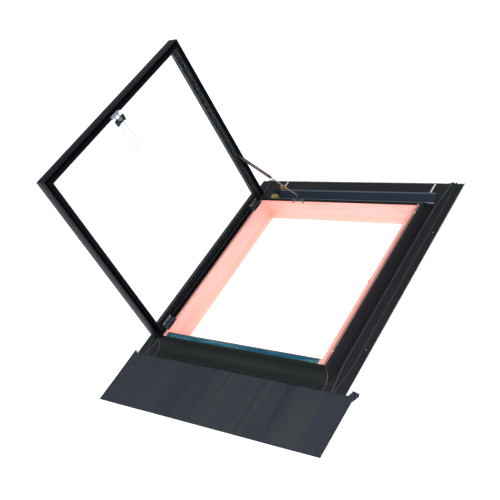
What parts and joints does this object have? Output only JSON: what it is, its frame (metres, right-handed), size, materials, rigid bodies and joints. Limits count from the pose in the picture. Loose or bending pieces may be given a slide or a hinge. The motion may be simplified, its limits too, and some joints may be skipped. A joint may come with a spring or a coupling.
{
  "type": "roof skylight",
  "caption": "Side-hung roof access skylight: timber frame with folded flashing and pleated apron, glazed sash standing open on hinges and a sliding stay, with a turn latch.",
  "frame": {"origin": "centre of the roof opening, in the plane of the roof surface, which is the underside of the flashing flange", "axes": "+X across the roof from the hinge side to the free side, +Y up the roof slope from sill to head, +Z out of the roof"},
  "size_m": [1.142, 1.336, 0.966],
  "materials": {
    "pine": "clear-varnished softwood",
    "coated_sheet": "dark matt coated sheet",
    "apron_sheet": "slate-coloured pleated sheet",
    "sash_profile": "dark satin powder coat",
    "teal_strip": "glossy blue-green coated strip",
    "zinc_steel": "zinc-plated",
    "stay_steel": "bright drawn tube",
    "rod_steel": "polished",
    "bare_metal": "bare, pale",
    "pane_glass": "clear float glass",
    "spacer_metal": "satin",
    "seal_rubber": "matt black",
    "packing_foam": "olive foam",
    "white_plastic": "plain white",
    "navy_plastic": "satin moulded",
    "black_plastic": "moulded",
    "clear_plastic": "clear soft tube"
  },
  "bodies": {
    "frame": {"left_jamb": "pine", "right_jamb": "pine", "head_timber": "pine", "sill_timber": "pine", "corner_screws": "zinc_steel", "sill_strip": "teal_strip", "sill_strip_screws": "zinc_steel", "head_liner": "coated_sheet", "packing_blocks": "packing_foam", "sash_guides": "white_plastic", "left_flashing": "coated_sheet", "right_flashing": "coated_sheet", "head_flashing": "coated_sheet", "front_flashing": "coated_sheet", "apron": "apron_sheet", "apron_rivets": "coated_sheet", "apron_edge_strip": "bare_metal", "head_cover": "coated_sheet", "cover_straps": "bare_metal", "hinge_frame_leaves": "zinc_steel", "hinge_pins": "zinc_steel", "hinge_frame_screws": "zinc_steel", "stay_bracket": "zinc_steel", "stay_bracket_screws": "zinc_steel", "spare_head_screws": "zinc_steel", "latch_keeper": "zinc_steel", "latch_keeper_screws": "zinc_steel"},
    "sash": {"sash_hinge_rail": "sash_profile", "sash_free_rail": "sash_profile", "sash_head_rail": "sash_profile", "sash_sill_rail": "sash_profile", "corner_cleats": "zinc_steel", "outer_pane": "pane_glass", "inner_pane": "pane_glass", "spacer_bar": "spacer_metal", "pane_sealant": "seal_rubber", "glazing_gaskets": "seal_rubber", "sash_gasket": "seal_rubber", "hinge_sash_leaves": "zinc_steel", "hinge_sash_screws": "zinc_steel", "latch_plate": "zinc_steel", "latch_plate_screws": "zinc_steel"},
    "latch": {"latch_spindle": "zinc_steel", "latch_handle": "navy_plastic", "pull_loop": "clear_plastic"},
    "slider": {"stay_slider": "black_plastic", "stay_slider_pin": "zinc_steel", "stay_slider_screw": "white_plastic"},
    "tube": {"stay_tube": "stay_steel", "stay_guide": "black_plastic"},
    "rod": {"stay_rod": "rod_steel"}
  },
  "joints": [
    {"name": "sash_hinge", "type": "hinge", "parent": "frame", "child": "sash", "pos_m": [-0.412, 0, 0.053], "axis": [0, 1, 0], "range_deg": [0, 90]},
    {"name": "latch_turn", "type": "hinge", "parent": "sash", "child": "latch", "pos_m": [-0.406, -0.015, 0.85], "axis": [0, -1, 0], "range_deg": [0, 70]},
    {"name": "stay_slide", "type": "slide", "parent": "sash", "child": "slider", "axis": [0, 0, 1], "range_m": [0, 0.1652]},
    {"name": "stay_pivot", "type": "hinge", "parent": "slider", "child": "tube", "pos_m": [-0.44, 0.4275, 0.308], "axis": [0, 1, 0], "range_deg": [0, 36.36]},
    {"name": "stay_extension", "type": "slide", "parent": "tube", "child": "rod", "axis": [-0.682, 0, 0.7313], "range_m": [0, 0.1303]}
  ],
  "couplings": [
    {"joint": "stay_slide", "follows": "sash_hinge", "m_per_rad": 0.10504},
    {"joint": "stay_pivot", "follows": "sash_hinge", "ratio": 0.40341},
    {"joint": "stay_extension", "follows": "sash_hinge", "m_per_rad": 0.08283}
  ]
}
